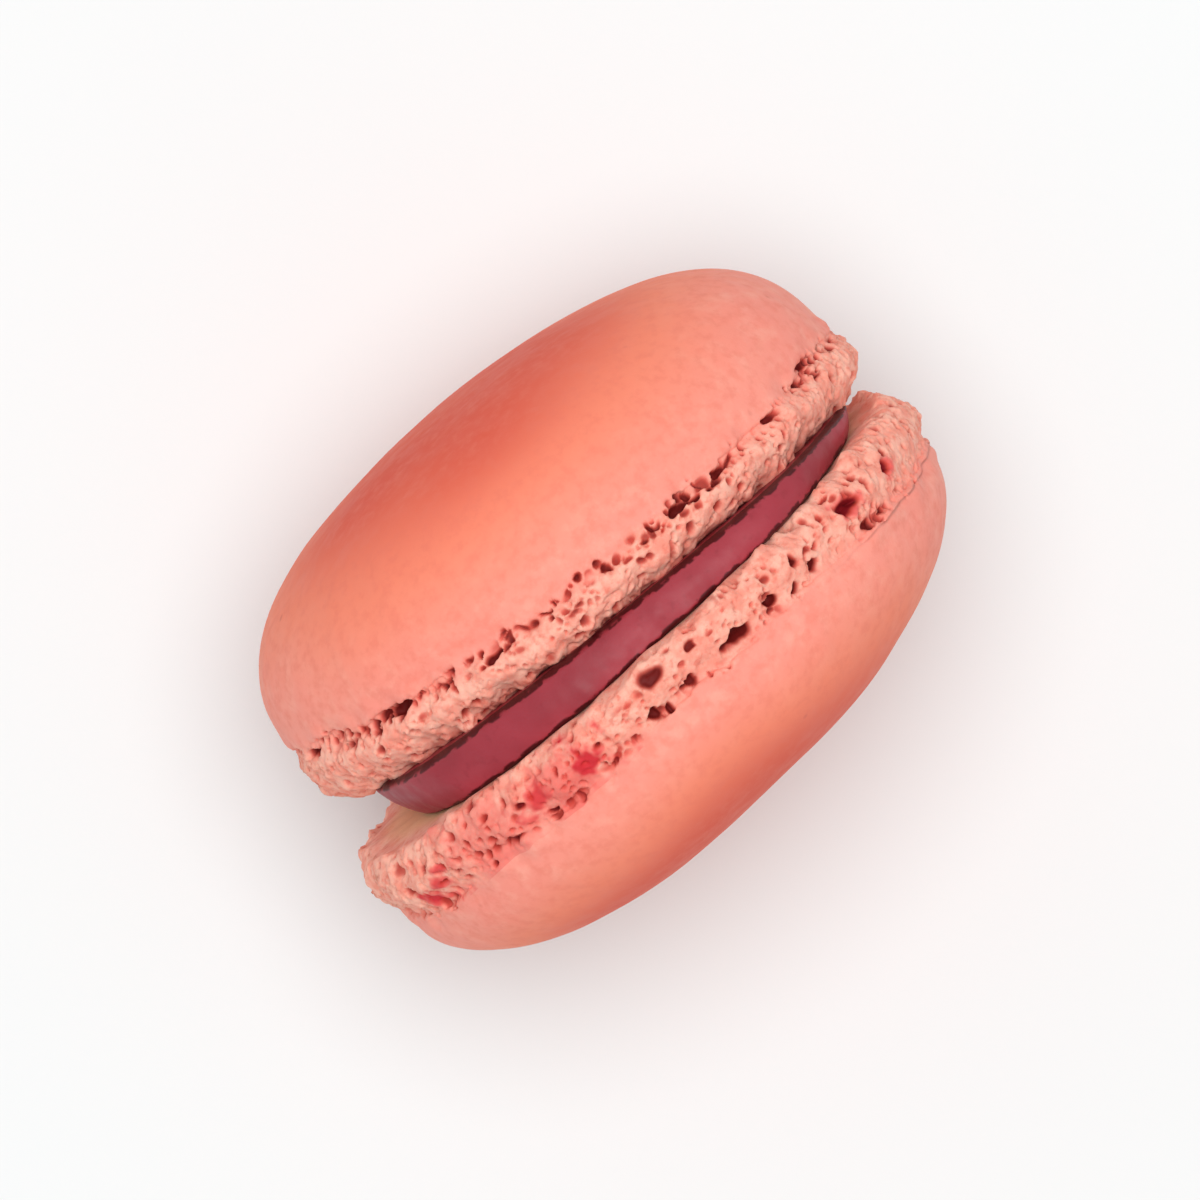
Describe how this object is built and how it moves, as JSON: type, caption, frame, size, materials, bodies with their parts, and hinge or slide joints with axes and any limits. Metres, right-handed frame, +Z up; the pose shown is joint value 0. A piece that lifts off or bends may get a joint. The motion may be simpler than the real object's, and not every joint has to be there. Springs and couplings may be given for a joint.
{
  "type": "french macaron",
  "caption": "Filled french macaron standing on its rim: domed shells with frilled, pitted feet pressed onto a thin wedge of dark fruit filling.",
  "frame": {"origin": "on the floor, under the middle of the macaron's box", "axes": "+Z up, +X along the seam, +Y from the thinner shell across the filling to the thicker shell"},
  "size_m": [0.0442, 0.0308, 0.0431],
  "materials": {
    "shell": "matte baked almond meringue, salmon pink",
    "filling": "satin dark raspberry cream"
  },
  "bodies": {
    "root": {"shell_back": "shell", "shell_front": "shell", "filling": "filling"}
  },
  "joints": []
}
